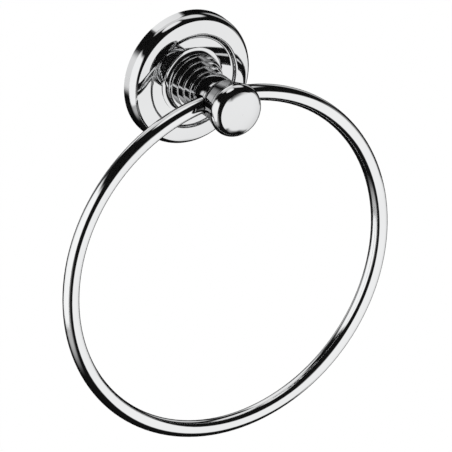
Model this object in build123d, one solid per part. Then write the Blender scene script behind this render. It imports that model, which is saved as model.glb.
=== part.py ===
from build123d import *
import os
from math import asin, cos, degrees, radians, sin, sqrt, tan

# Towel ring: a rosette on the wall, a turned post with a stepped neck and a belled head,
# and an open ring of round bar whose two ends swing in sockets in the head's sides.
# Millimetres. The wall is the plane Y = 0, the post points along -Y and +Z is up.
# A height is a distance from the wall along the post.

# Ring
ring_radius = 75.0
bar_radius = 3.5

# Sockets in the head for the ring's two ends
socket_web = 7.0
socket_clearance = 0.3
end_clearance = 0.4

# Rosette
rosette_radius = 28.9
rosette_thickness = 8.2
rosette_rim_wall = 3.9
rosette_wall = 2.0
rim_taper = 0.15
rim_tilt = 32.0
rim_width = 2.2
crown_round = 17.0
dish_radius = 21.3
step_width = 2.4
step_depth = 1.3

# Foot of the post, and the collars that step down its neck
spigot_radius = 5.0
foot_radius = 14.6
foot_lip = 0.35
cove_rise = 0.9
collar_count = 4
collar_length = 2.75
first_collar_radius = 12.5
last_collar_radius = 8.5
collar_edge_round = 0.3

# Waist, barrel and bell of the head
waist_step = 0.9
waist_length = 2.55
barrel_radius = 9.2
barrel_to_ring = 5.3
ring_to_flare = 1.85
flare_angle = 14.0
flare_round = 5.0
bell_flare = 2.4
nose_round = 4.2
dome_radius = 22.0

# Seam between the head and its end cap
seam_land = 5.8
seam_break = 0.15
stud_radius = 3.0
stud_length = 4.4

# Concealed wall bracket
bracket_plate = 2.0
bracket_rim_gap = 0.7
bracket_rim_wall = 3.0
bracket_undercut = 1.4
bracket_gap = 2.0
bracket_bore = 8.0
slot_length = 8.0
slot_width = 5.0

# Screws
screw_radius = 2.5
screw_reach = 12.0
screw_head_radius = 4.75
screw_head_height = 2.75
screw_key = 3.0
screw_key_depth = 1.6
washer_radius = 7.0
washer_thickness = 0.8
grub_radius = 2.0
grub_height = 2.6
grub_inset = 0.7
grub_key = 2.0
grub_key_depth = 1.8
grub_seat_gap = 0.1

# Fits
fit_clearance = 0.05
hole_run_out = 0.5

# Rosette and its cavity
seat_height = rosette_thickness - step_depth
dish_floor_radius = dish_radius - step_width
crease_radius = rosette_radius - rim_width
crown_drop = crown_round - sqrt(crown_round ** 2 - (crease_radius - dish_radius) ** 2)
crease_height = rosette_thickness - crown_drop
rim_front_radius = rosette_radius - rim_taper
rim_round = (rim_front_radius - crease_radius) / (1 - sin(radians(rim_tilt)))
rim_side_height = crease_height - rim_round * cos(radians(rim_tilt))
cavity_radius = rosette_radius - rosette_rim_wall
ceiling_height = seat_height - rosette_wall
rim_ceiling_height = rosette_thickness - rosette_wall
spigot_bore = spigot_radius + fit_clearance

# Heights up the post, and the waist under its last collar
neck_start = seat_height + foot_lip + cove_rise
neck_end = neck_start + collar_count * collar_length
waist_radius = last_collar_radius - waist_step
shoulder_round = barrel_radius - waist_radius
shoulder_start = neck_end + waist_length
barrel_start = shoulder_start + shoulder_round
ring_height = barrel_start + barrel_to_ring
flare_start = ring_height + ring_to_flare

# Bell: the barrel runs by a small round into a straight flare, which meets the nose without a corner
flare = radians(flare_angle)
bell_radius = barrel_radius + bell_flare
cone_start_radius = barrel_radius + flare_round * (1 - cos(flare))
cone_start_height = flare_start + flare_round * sin(flare)
nose_centre_radius = bell_radius - nose_round
cone_end_radius = nose_centre_radius + nose_round * cos(flare)
cone_end_height = cone_start_height + (cone_end_radius - cone_start_radius) / tan(flare)
bell_height = cone_end_height + nose_round * sin(flare)

# Sockets: the bar is curved, so a straight socket needs room for the rise of the arc inside it
socket_floor = socket_web / 2
ring_end = socket_floor + end_clearance
rise_at_mouth = ring_radius - sqrt(ring_radius ** 2 - barrel_radius ** 2)
rise_at_end = ring_radius - sqrt(ring_radius ** 2 - ring_end ** 2)
bar_offset = (rise_at_mouth - rise_at_end) / 2
socket_radius = bar_radius + bar_offset + socket_clearance
ring_centre_z = (rise_at_mouth + rise_at_end) / 2 - ring_radius
seam_height = ring_height + socket_radius + seam_land

# Bracket
bracket_rim_height = ceiling_height - bracket_rim_gap
bracket_rim_radius = cavity_radius - bracket_gap
bracket_back_radius = bracket_rim_radius - bracket_undercut
bracket_flat_radius = bracket_rim_radius - bracket_rim_wall
fixing_spacing = bracket_bore + bracket_flat_radius

wall_normal = Vector(0, 1, 0)


def at(radius, height):
    """Point of a turned profile, given by its radius and its distance from the wall."""
    return Vector(radius, -height)


def turned(profile):
    """Solid turned about the post's axis from a closed profile."""
    return revolve(make_face(profile.edges()), Axis.Y)


def hex_socket(across_flats, depth):
    """Hexagonal key socket, open at Z = 0 and sunk along -Z."""
    return extrude(RegularPolygon(across_flats / 2, 6, major_radius=False), -depth)


def make_rosette():
    """Turned flange: tapered rim, broad round, crease, crowned annulus, ogee step and hollow back."""
    crease = at(crease_radius, crease_height)
    step_middle = at(dish_radius - step_width / 2, rosette_thickness - step_depth / 2)
    with BuildLine() as profile:
        Line(at(cavity_radius, 0), at(rosette_radius, 0))
        side = Line(at(rosette_radius, 0), at(rim_front_radius, rim_side_height))
        TangentArc(at(rim_front_radius, rim_side_height), crease, tangent=side % 1)
        TangentArc(at(dish_radius, rosette_thickness), crease, tangent=(1, 0))
        ogee = TangentArc(at(dish_radius, rosette_thickness), step_middle, tangent=(-1, 0))
        TangentArc(step_middle, at(dish_floor_radius, seat_height), tangent=ogee % 1)
        Polyline(
            at(dish_floor_radius, seat_height),
            at(spigot_bore, seat_height),
            at(spigot_bore, ceiling_height),
            at(dish_radius, ceiling_height),
            at(dish_radius, rim_ceiling_height),
            at(cavity_radius, rim_ceiling_height),
            at(cavity_radius, 0),
        )
    rosette = turned(profile)
    grub_hole = Cylinder(
        grub_radius + fit_clearance,
        rosette_radius,
        align=(Align.CENTER, Align.CENTER, Align.MAX),
    )
    return rosette - Pos(0, -grub_height, -bracket_rim_radius) * grub_hole


def post_and_cap_profile():
    """Outline of the whole post: spigot, coved foot, collars, waist, shoulder, barrel, bell and dome."""
    collar_fall = (first_collar_radius - last_collar_radius) / (collar_count - 1)
    collar_radii = [first_collar_radius - i * collar_fall for i in range(collar_count)]
    collar_floors = collar_radii[1:] + [waist_radius]

    cone_start = at(cone_start_radius, cone_start_height)
    cone_end = at(cone_end_radius, cone_end_height)
    dome_centre_height = bell_height - sqrt((dome_radius - nose_round) ** 2 - nose_centre_radius ** 2)
    dome_share = dome_radius / (dome_radius - nose_round)
    nose_end = at(
        nose_centre_radius * dome_share,
        dome_centre_height + (bell_height - dome_centre_height) * dome_share,
    )
    nose_tip = at(0, dome_centre_height + dome_radius)

    with BuildLine() as profile:
        Polyline(
            at(0, ceiling_height + fit_clearance),
            at(spigot_radius, ceiling_height + fit_clearance),
            at(spigot_radius, seat_height),
            at(foot_radius, seat_height),
            at(foot_radius, seat_height + foot_lip),
        )
        TangentArc(
            at(foot_radius, seat_height + foot_lip),
            at(first_collar_radius, neck_start),
            tangent=(-1, 0),
        )
        for i in range(collar_count):
            collar_start = neck_start + i * collar_length
            collar_end = collar_start + collar_length
            edge = at(collar_radii[i], collar_end - collar_edge_round)
            edge_end = at(collar_radii[i] - collar_edge_round, collar_end)
            Line(at(collar_radii[i], collar_start), edge)
            TangentArc(edge, edge_end, tangent=(0, -1))
            Line(edge_end, at(collar_floors[i], collar_end))
        Line(at(waist_radius, neck_end), at(waist_radius, shoulder_start))
        RadiusArc(at(waist_radius, shoulder_start), at(barrel_radius, barrel_start), shoulder_round)
        Line(at(barrel_radius, barrel_start), at(barrel_radius, flare_start))
        TangentArc(at(barrel_radius, flare_start), cone_start, tangent=(0, -1))
        cone = Line(cone_start, cone_end)
        nose = TangentArc(cone_end, nose_end, tangent=cone % 1)
        TangentArc(nose_end, nose_tip, tangent=nose % 1)
        Line(nose_tip, at(0, ceiling_height + fit_clearance))
    return profile


def make_post_and_cap():
    """Post and end cap, turned to one outline, parted at the seam and joined by the cap's stud."""
    seam_radius = cone_start_radius + (seam_height - cone_start_height) * tan(flare)
    with BuildLine() as seam_groove:
        Polyline(
            at(seam_radius - seam_break, seam_height),
            at(seam_radius + seam_break, seam_height - 2 * seam_break),
            at(seam_radius + seam_break, seam_height + 2 * seam_break),
            close=True,
        )
    whole = turned(post_and_cap_profile()) - turned(seam_groove)
    seam = Plane(origin=(0, -seam_height, 0), z_dir=-wall_normal)
    post = split(whole, bisect_by=seam, keep=Keep.BOTTOM)
    cap = split(whole, bisect_by=seam, keep=Keep.TOP)

    along_post = Rot(90, 0, 0)
    stud_hole = Cylinder(
        stud_radius + fit_clearance,
        stud_length + hole_run_out,
        align=(Align.CENTER, Align.CENTER, Align.MAX),
    )
    post -= Pos(0, -seam_height, 0) * along_post * stud_hole
    stud = Cylinder(stud_radius, stud_length, align=(Align.CENTER, Align.CENTER, Align.MAX))
    cap += Pos(0, -seam_height, 0) * along_post * stud

    screw_hole = Cylinder(
        screw_radius + fit_clearance,
        screw_reach + hole_run_out,
        align=(Align.CENTER, Align.CENTER, Align.MIN),
    )
    post -= Pos(0, -ceiling_height, 0) * along_post * screw_hole

    socket = Cylinder(socket_radius, bell_radius, align=(Align.CENTER, Align.CENTER, Align.MIN))
    for turn in (90, -90):
        post -= Pos(0, -ring_height, 0) * Rot(0, turn, 0) * Pos(0, 0, socket_floor) * socket
    return post, cap


def make_ring():
    """Open ring of round bar, hanging plumb, with its gap hidden in the head."""
    ring_axis = Axis((0, -ring_height, ring_centre_z), wall_normal)
    half_gap = degrees(asin(ring_end / ring_radius))
    top = Plane(origin=(0, -ring_height, ring_centre_z + ring_radius), z_dir=(1, 0, 0))
    section = top * Circle(bar_radius)
    bar = revolve(section, ring_axis, revolution_arc=360 - 2 * half_gap)
    return bar.rotate(ring_axis, half_gap)


def make_wall_bracket():
    """Dished plate: bored middle, two slots in line, and an undercut rim for the grub screw's point."""
    with BuildLine() as profile:
        Polyline(
            at(bracket_bore, 0),
            at(bracket_back_radius, 0),
            at(bracket_rim_radius, bracket_rim_height),
            at(bracket_flat_radius, bracket_rim_height),
            at(bracket_flat_radius, bracket_plate),
            at(bracket_bore, bracket_plate),
            close=True,
        )
    bracket = turned(profile)
    slot = extrude(Plane.XZ * SlotOverall(slot_length, slot_width), bracket_plate, both=True)
    for side in (-1, 1):
        bracket -= Pos(side * fixing_spacing / 2, 0, 0) * slot
    return bracket


def make_lock_washer():
    """Plain washer on the rosette's inner face, under the screw's head."""
    washer = Cylinder(washer_radius, washer_thickness, align=(Align.CENTER, Align.CENTER, Align.MAX))
    washer -= Cylinder(screw_radius + 2 * fit_clearance, 4 * washer_thickness)
    return Pos(0, -ceiling_height, 0) * Rot(90, 0, 0) * washer


def make_post_screw():
    """Button-head screw from behind, through the washer into the post."""
    head_seat = ceiling_height - washer_thickness
    crown = head_seat - screw_head_height
    with BuildLine() as profile:
        Polyline(
            at(0, crown),
            at(screw_key, crown),
        )
        TangentArc(at(screw_head_radius, head_seat), at(screw_key, crown), tangent=(0, 1))
        Polyline(
            at(screw_head_radius, head_seat),
            at(screw_radius, head_seat),
            at(screw_radius, ceiling_height + screw_reach),
            at(0, ceiling_height + screw_reach),
            at(0, crown),
        )
    key = Pos(0, -crown, 0) * Rot(-90, 0, 0) * hex_socket(screw_key, screw_key_depth)
    return turned(profile) - key


def make_grub_screw():
    """Cone-point set screw in the rosette's underside, bearing on the bracket's undercut rim."""
    outer_end = rosette_radius - grub_inset
    seat_radius = bracket_back_radius + bracket_undercut * grub_height / bracket_rim_height
    point = seat_radius + grub_seat_gap
    with BuildLine() as profile:
        Polyline(
            (0, point),
            (grub_radius, point + grub_radius),
            (grub_radius, outer_end),
            (0, outer_end),
            close=True,
        )
    screw = revolve(make_face(profile.edges()), Axis.Y)
    screw -= Pos(0, outer_end, 0) * Rot(-90, 0, 0) * hex_socket(grub_key, grub_key_depth)
    return Pos(0, -grub_height, 0) * Rot(-90, 0, 0) * screw


def main():
    post, end_cap = make_post_and_cap()
    nodes = {
        "wall_bracket": make_wall_bracket(),
        "rosette": make_rosette(),
        "post": post,
        "end_cap": end_cap,
        "ring": make_ring(),
        "post_screw": make_post_screw(),
        "lock_washer": make_lock_washer(),
        "grub_screw": make_grub_screw(),
    }
    os.makedirs("parts", exist_ok=True)
    for name, solid in nodes.items():
        export_step(solid, f"parts/{name}.step")
    print("ring axis from the wall", round(ring_height, 3), "ring centre", round(ring_centre_z, 3))
    print("fixing slots apart", round(fixing_spacing, 3), "socket radius", round(socket_radius, 3))


main()
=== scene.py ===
import math
from collections import namedtuple

import bpy
from mathutils import Matrix, Vector


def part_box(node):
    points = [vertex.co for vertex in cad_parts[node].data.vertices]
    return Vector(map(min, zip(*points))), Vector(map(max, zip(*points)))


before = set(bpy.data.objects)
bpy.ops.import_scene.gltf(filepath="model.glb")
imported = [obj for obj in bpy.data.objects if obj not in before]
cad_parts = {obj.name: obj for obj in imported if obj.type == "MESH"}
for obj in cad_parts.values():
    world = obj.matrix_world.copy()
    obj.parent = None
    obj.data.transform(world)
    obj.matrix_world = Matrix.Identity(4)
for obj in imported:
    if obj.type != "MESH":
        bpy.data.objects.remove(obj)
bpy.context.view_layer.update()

# Metres and degrees. The wall is the plane Y = 0, the post points along -Y and +Z is up.
# Azimuth 0 is straight out from the wall, 90 is to the right and 180 is into the wall.

# Camera of the photograph: a long lens from the upper left. The frame's width is taken at the aim,
# and the sensor's width is in millimetres.
CAMERA_AZIMUTH = -30.4
CAMERA_ELEVATION = 26.22
CAMERA_ROLL = 2.26
CAMERA_DISTANCE = 6.0
CAMERA_AIM = Vector((0.00068, -0.0286, -0.05869))
FRAME_WIDTH = 0.18748
SENSOR_WIDTH = 36.0
CLIP_START = 0.1
CLIP_END = 100.0

# Studio: white surroundings, a white floor far below and a weak soft light on the left
WHITE = (1.0, 1.0, 1.0, 1.0)
WORLD_STRENGTH = 1.0
FLOOR_DROP = 8.0
FLOOR_RADIUS = 60.0
FLOOR_CORNERS = 64
STUDIO_CENTRE = Vector((0.0, -0.03, -0.03))
SOFTBOX_AZIMUTH = -100.0
SOFTBOX_ELEVATION = 0.0
SOFTBOX_DISTANCE = 1.6
SOFTBOX_WIDTH = 3.0
SOFTBOX_HEIGHT = 2.6
SOFTBOX_POWER = 2.0

# Dark tent that only reflections see, open overhead and at its windows. Squareness 2 makes an ellipse, and
# more makes it squarer. The edge fades over the softness, a share of the half sizes. Openness 1 is clear.
TENT_RADIUS = 0.6
TENT_STEP = 2
TENT_BLACK = (0.007, 0.007, 0.007, 1.0)
ZENITH_FROM = 74.0
ZENITH_TO = 78.0
Window = namedtuple("Window", "azimuth elevation half_width half_height squareness softness openness")
WINDOWS = [
    # Left
    Window(-100.0, -0.5, 37.0, 35.0, 5.0, 0.1, 1.0),
    Window(-142.0, 2.0, 9.0, 20.0, 3.0, 0.25, 0.8),
    Window(-92.0, -26.0, 36.0, 24.0, 3.0, 0.35, 0.5),
    # In front
    Window(1.0, -18.0, 21.0, 31.0, 3.0, 0.1, 1.0),
    Window(-3.0, 1.0, 12.0, 18.0, 2.5, 0.2, 0.5),
    Window(26.0, -20.0, 32.0, 37.0, 2.8, 0.1, 1.0),
    Window(50.0, -21.0, 33.0, 34.0, 3.5, 0.08, 1.0),
    # Right
    Window(90.0, -38.0, 20.0, 19.0, 3.0, 0.1, 1.0),
    Window(84.0, -6.0, 12.0, 15.0, 2.0, 0.4, 0.4),
    Window(114.0, 57.0, 28.0, 14.0, 2.5, 0.25, 0.85),
    Window(126.0, 12.0, 12.0, 14.0, 2.5, 0.2, 0.8),
    # Behind
    Window(174.0, 33.0, 21.5, 19.0, 4.0, 0.07, 1.0),
    Window(158.0, 6.0, 11.0, 9.0, 2.5, 0.2, 0.8),
    Window(172.0, 62.0, 46.0, 14.0, 3.0, 0.12, 0.75),
    Window(-168.0, 0.0, 16.0, 30.0, 3.0, 0.3, 0.05),
    Window(180.0, -8.0, 14.0, 12.0, 2.5, 0.3, 0.8),
]

# All metals: a dark tint at grazing angles, and the part of a noise over which a tone or a gloss changes
Noise = namedtuple("Noise", "scale detail")
Span = namedtuple("Span", "low high")
EDGE_TINT = (0.2, 0.2, 0.2, 1.0)
NOISE_SPAN = Span(0.3, 0.7)

# Bright chrome of the turned pieces and of the drawn bar
TURNED_TONES = Span((0.77, 0.775, 0.78, 1.0), (0.8, 0.805, 0.81, 1.0))
DRAWN_TONES = Span((0.825, 0.83, 0.835, 1.0), (0.855, 0.86, 0.865, 1.0))
CHROME_ROUGHNESS = Span(0.012, 0.035)
CHROME_TINT = Noise(40.0, 4.0)
CHROME_HAZE = Noise(90.0, 6.0)
CHROME_WAVES = Noise(110.0, 1.0)
WAVE_DEPTH = 0.00001
POLISH_LINES = Noise(9000.0, 2.0)
LINE_DEPTH = 0.0000002

# Dull zinc of the bracket
ZINC_TONES = Span((0.52, 0.53, 0.55, 1.0), (0.66, 0.67, 0.68, 1.0))
ZINC_ROUGHNESS = Span(0.34, 0.52)
ZINC_SPOTS = Noise(700.0, 5.0)
ZINC_HAZE = Noise(350.0, 4.0)
ZINC_GRAIN = Noise(2500.0, 3.0)
GRAIN_DEPTH = 0.00002

# Turned steel of the screws and the washer
STEEL_TONES = Span((0.5, 0.5, 0.51, 1.0), (0.6, 0.6, 0.61, 1.0))
STEEL_ROUGHNESS = Span(0.22, 0.38)
STEEL_SPOTS = Noise(500.0, 4.0)
LATHE_GROOVES = Noise(6000.0, 2.0)
GROOVE_DEPTH = 0.00001


def direction(azimuth, elevation):
    """Unit vector from the object towards an azimuth and an elevation."""
    a = math.radians(azimuth)
    e = math.radians(elevation)
    return Vector((math.sin(a) * math.cos(e), -math.cos(a) * math.cos(e), math.sin(e)))


def make_camera():
    """Camera at the photograph's viewing angle, turned a little about its own axis."""
    back = direction(CAMERA_AZIMUTH, CAMERA_ELEVATION)
    right = (-back).cross(Vector((0.0, 0.0, 1.0))).normalized()
    up = back.cross(right)
    level = Matrix((right, up, back)).transposed()
    roll = Matrix.Rotation(math.radians(-CAMERA_ROLL), 3, "Z")
    data = bpy.data.cameras.new("camera")
    data.sensor_width = SENSOR_WIDTH
    data.lens = SENSOR_WIDTH * CAMERA_DISTANCE / FRAME_WIDTH
    data.clip_start = CLIP_START
    data.clip_end = CLIP_END
    camera = bpy.data.objects.new("camera", data)
    camera.matrix_world = Matrix.Translation(CAMERA_AIM + back * CAMERA_DISTANCE) @ (level @ roll).to_4x4()
    bpy.context.scene.collection.objects.link(camera)
    bpy.context.scene.camera = camera


def add_mesh(name, points, faces):
    """New mesh object from points and faces."""
    mesh = bpy.data.meshes.new(name)
    mesh.from_pydata(points, [], faces)
    item = bpy.data.objects.new(name, mesh)
    bpy.context.scene.collection.objects.link(item)
    return item


def plain_material(name, colour):
    """Matte material of the studio."""
    material = bpy.data.materials.new(name)
    material.use_nodes = True
    nodes = material.node_tree.nodes
    nodes.clear()
    surface = nodes.new("ShaderNodeBsdfDiffuse")
    surface.inputs["Color"].default_value = colour
    output = nodes.new("ShaderNodeOutputMaterial")
    material.node_tree.links.new(surface.outputs["BSDF"], output.inputs["Surface"])
    return material


def make_world():
    """Even white surroundings."""
    world = bpy.data.worlds.new("studio")
    world.use_nodes = True
    background = world.node_tree.nodes["Background"]
    background.inputs["Color"].default_value = WHITE
    background.inputs["Strength"].default_value = WORLD_STRENGTH
    bpy.context.scene.world = world


def make_floor():
    """Round floor, so far below that a camera looking up from under the object stays above it."""
    points = []
    for i in range(FLOOR_CORNERS):
        turn = 2.0 * math.pi * i / FLOOR_CORNERS
        points.append((FLOOR_RADIUS * math.cos(turn), FLOOR_RADIUS * math.sin(turn), -FLOOR_DROP))
    floor = add_mesh("floor", points, [list(range(FLOOR_CORNERS))])
    floor.data.materials.append(plain_material("floor_white", WHITE))


def make_softbox():
    """Large soft light on the left, level with the object."""
    light = bpy.data.lights.new("softbox", "AREA")
    light.shape = "RECTANGLE"
    light.size = SOFTBOX_WIDTH
    light.size_y = SOFTBOX_HEIGHT
    light.energy = SOFTBOX_POWER
    towards = direction(SOFTBOX_AZIMUTH, SOFTBOX_ELEVATION)
    softbox = bpy.data.objects.new("softbox", light)
    softbox.location = STUDIO_CENTRE + towards * SOFTBOX_DISTANCE
    softbox.rotation_mode = "QUATERNION"
    softbox.rotation_quaternion = towards.to_track_quat("Z", "Y")
    softbox.visible_camera = False
    bpy.context.scene.collection.objects.link(softbox)


def smooth_step(low, high, value):
    """Smooth rise from 0 at low to 1 at high."""
    share = min(1.0, max(0.0, (value - low) / (high - low)))
    return share * share * (3.0 - 2.0 * share)


def window_openness(window, azimuth, elevation):
    """How far a window is open in a direction, fading across its edge."""
    across = (azimuth - window.azimuth + 180.0) % 360.0 - 180.0
    along = elevation - window.elevation
    power = window.squareness
    size = (abs(across) / window.half_width) ** power + (abs(along) / window.half_height) ** power
    edge = size ** (1.0 / power)
    inside = 1.0 - smooth_step(1.0 - window.softness, 1.0 + window.softness, edge)
    return inside * window.openness


def tent_openness(azimuth, elevation):
    """How far the tent is open in a direction: 0 is dark and 1 lets the white studio through."""
    openness = smooth_step(ZENITH_FROM, ZENITH_TO, elevation)
    for window in WINDOWS:
        openness = max(openness, window_openness(window, azimuth, elevation))
    return openness


def tent_material():
    """Black cloth, clear where a window is open."""
    material = plain_material("tent_black", TENT_BLACK)
    nodes = material.node_tree.nodes
    links = material.node_tree.links
    openness = nodes.new("ShaderNodeAttribute")
    openness.attribute_name = "openness"
    clear = nodes.new("ShaderNodeBsdfTransparent")
    mix = nodes.new("ShaderNodeMixShader")
    links.new(openness.outputs["Fac"], mix.inputs["Fac"])
    links.new(nodes["Diffuse BSDF"].outputs["BSDF"], mix.inputs[1])
    links.new(clear.outputs["BSDF"], mix.inputs[2])
    links.new(mix.outputs["Shader"], nodes["Material Output"].inputs["Surface"])
    return material


def make_tent():
    """Dark tent round the object, with soft-edged windows."""
    columns = 360 // TENT_STEP
    rows = 180 // TENT_STEP
    points = []
    openness = []
    for j in range(rows + 1):
        elevation = -90.0 + j * TENT_STEP
        for i in range(columns):
            azimuth = -180.0 + i * TENT_STEP
            points.append(STUDIO_CENTRE + direction(azimuth, elevation) * TENT_RADIUS)
            openness.append(tent_openness(azimuth, elevation))
    faces = []
    for j in range(rows):
        for i in range(columns):
            first = j * columns + i
            second = j * columns + (i + 1) % columns
            faces.append((first, second, second + columns, first + columns))
    tent = add_mesh("tent", points, faces)
    tent.data.attributes.new("openness", "FLOAT", "POINT").data.foreach_set("value", openness)
    tent.data.materials.append(tent_material())
    tent.visible_camera = False
    tent.visible_diffuse = False
    tent.visible_shadow = False


def make_studio():
    """World, floor, soft light and the dark tent."""
    make_world()
    make_floor()
    make_softbox()
    make_tent()


def new_metal(name):
    """Node tree of a bare metal, its shader, and the coordinates of the shared frame to vary it by."""
    material = bpy.data.materials.new(name)
    material.use_nodes = True
    surface = material.node_tree.nodes["Principled BSDF"]
    surface.inputs["Metallic"].default_value = 1.0
    surface.inputs["Specular Tint"].default_value = EDGE_TINT
    place = material.node_tree.nodes.new("ShaderNodeTexCoord")
    return material.node_tree, surface, place.outputs["Object"]


def add_noise(tree, vector, noise):
    """Noise over the surface; its scale counts features to the metre."""
    texture = tree.nodes.new("ShaderNodeTexNoise")
    texture.inputs["Scale"].default_value = noise.scale
    texture.inputs["Detail"].default_value = noise.detail
    tree.links.new(vector, texture.inputs["Vector"])
    return texture.outputs["Fac"]


def add_round_coordinates(tree, place, centre_z):
    """Distance from an axis along Y and place along it, the same all round a turned or bent piece."""
    centred = tree.nodes.new("ShaderNodeVectorMath")
    centred.operation = "SUBTRACT"
    centred.inputs[1].default_value = (0.0, 0.0, centre_z)
    tree.links.new(place, centred.inputs[0])
    parts = tree.nodes.new("ShaderNodeSeparateXYZ")
    tree.links.new(centred.outputs["Vector"], parts.inputs["Vector"])
    across = tree.nodes.new("ShaderNodeCombineXYZ")
    tree.links.new(parts.outputs["X"], across.inputs["X"])
    tree.links.new(parts.outputs["Z"], across.inputs["Z"])
    radius = tree.nodes.new("ShaderNodeVectorMath")
    radius.operation = "LENGTH"
    tree.links.new(across.outputs["Vector"], radius.inputs[0])
    both = tree.nodes.new("ShaderNodeCombineXYZ")
    tree.links.new(radius.outputs["Value"], both.inputs["X"])
    tree.links.new(parts.outputs["Y"], both.inputs["Y"])
    return both.outputs["Vector"]


def vary_tone(tree, surface, value, tones):
    """Base colour between two tones."""
    ramp = tree.nodes.new("ShaderNodeValToRGB")
    ramp.color_ramp.elements[0].position = NOISE_SPAN.low
    ramp.color_ramp.elements[0].color = tones.low
    ramp.color_ramp.elements[1].position = NOISE_SPAN.high
    ramp.color_ramp.elements[1].color = tones.high
    tree.links.new(value, ramp.inputs["Fac"])
    tree.links.new(ramp.outputs["Color"], surface.inputs["Base Color"])


def vary_gloss(tree, surface, value, roughness):
    """Roughness between two values."""
    spread = tree.nodes.new("ShaderNodeMapRange")
    spread.inputs["From Min"].default_value = NOISE_SPAN.low
    spread.inputs["From Max"].default_value = NOISE_SPAN.high
    spread.inputs["To Min"].default_value = roughness.low
    spread.inputs["To Max"].default_value = roughness.high
    tree.links.new(value, spread.inputs["Value"])
    tree.links.new(spread.outputs["Result"], surface.inputs["Roughness"])


def add_bump(tree, surface, height, depth):
    """Relief of a depth in metres, laid over the relief that is there already."""
    bump = tree.nodes.new("ShaderNodeBump")
    bump.inputs["Distance"].default_value = depth
    tree.links.new(height, bump.inputs["Height"])
    for link in surface.inputs["Normal"].links:
        tree.links.new(link.from_socket, bump.inputs["Normal"])
    tree.links.new(bump.outputs["Normal"], surface.inputs["Normal"])


def bright_chrome(name, centre_z, tones):
    """Bright plating: a faint tint and haze, slow waviness, and polish lines round its axis."""
    tree, surface, place = new_metal(name)
    lines = add_noise(tree, add_round_coordinates(tree, place, centre_z), POLISH_LINES)
    vary_tone(tree, surface, add_noise(tree, place, CHROME_TINT), tones)
    vary_gloss(tree, surface, add_noise(tree, place, CHROME_HAZE), CHROME_ROUGHNESS)
    add_bump(tree, surface, add_noise(tree, place, CHROME_WAVES), WAVE_DEPTH)
    add_bump(tree, surface, lines, LINE_DEPTH)
    return bpy.data.materials[name]


def dull_zinc(name):
    """Dull zinc plating with a fine cloudy grain."""
    tree, surface, place = new_metal(name)
    vary_tone(tree, surface, add_noise(tree, place, ZINC_SPOTS), ZINC_TONES)
    vary_gloss(tree, surface, add_noise(tree, place, ZINC_HAZE), ZINC_ROUGHNESS)
    add_bump(tree, surface, add_noise(tree, place, ZINC_GRAIN), GRAIN_DEPTH)
    return bpy.data.materials[name]


def turned_steel(name):
    """Plain steel with the fine grooves of the lathe."""
    tree, surface, place = new_metal(name)
    grooves = add_noise(tree, add_round_coordinates(tree, place, 0.0), LATHE_GROOVES)
    vary_tone(tree, surface, add_noise(tree, place, STEEL_SPOTS), STEEL_TONES)
    vary_gloss(tree, surface, grooves, STEEL_ROUGHNESS)
    add_bump(tree, surface, grooves, GROOVE_DEPTH)
    return bpy.data.materials[name]


def dress_nodes():
    """Material of each CAD node."""
    low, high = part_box("ring")
    ring_centre_z = low[2] + (high[0] - low[0]) / 2
    turned_chrome = bright_chrome("turned_chrome", 0.0, TURNED_TONES)
    drawn_chrome = bright_chrome("drawn_chrome", ring_centre_z, DRAWN_TONES)
    zinc = dull_zinc("zinc_plating")
    steel = turned_steel("turned_steel")
    finishes = {
        "rosette": turned_chrome,
        "post": turned_chrome,
        "end_cap": turned_chrome,
        "ring": drawn_chrome,
        "wall_bracket": zinc,
        "post_screw": steel,
        "lock_washer": steel,
        "grub_screw": steel,
    }
    for name, finish in finishes.items():
        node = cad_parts[name]
        node.data.materials.clear()
        node.data.materials.append(finish)


make_camera()
make_studio()
dress_nodes()
bpy.context.scene.view_settings.view_transform = "Standard"
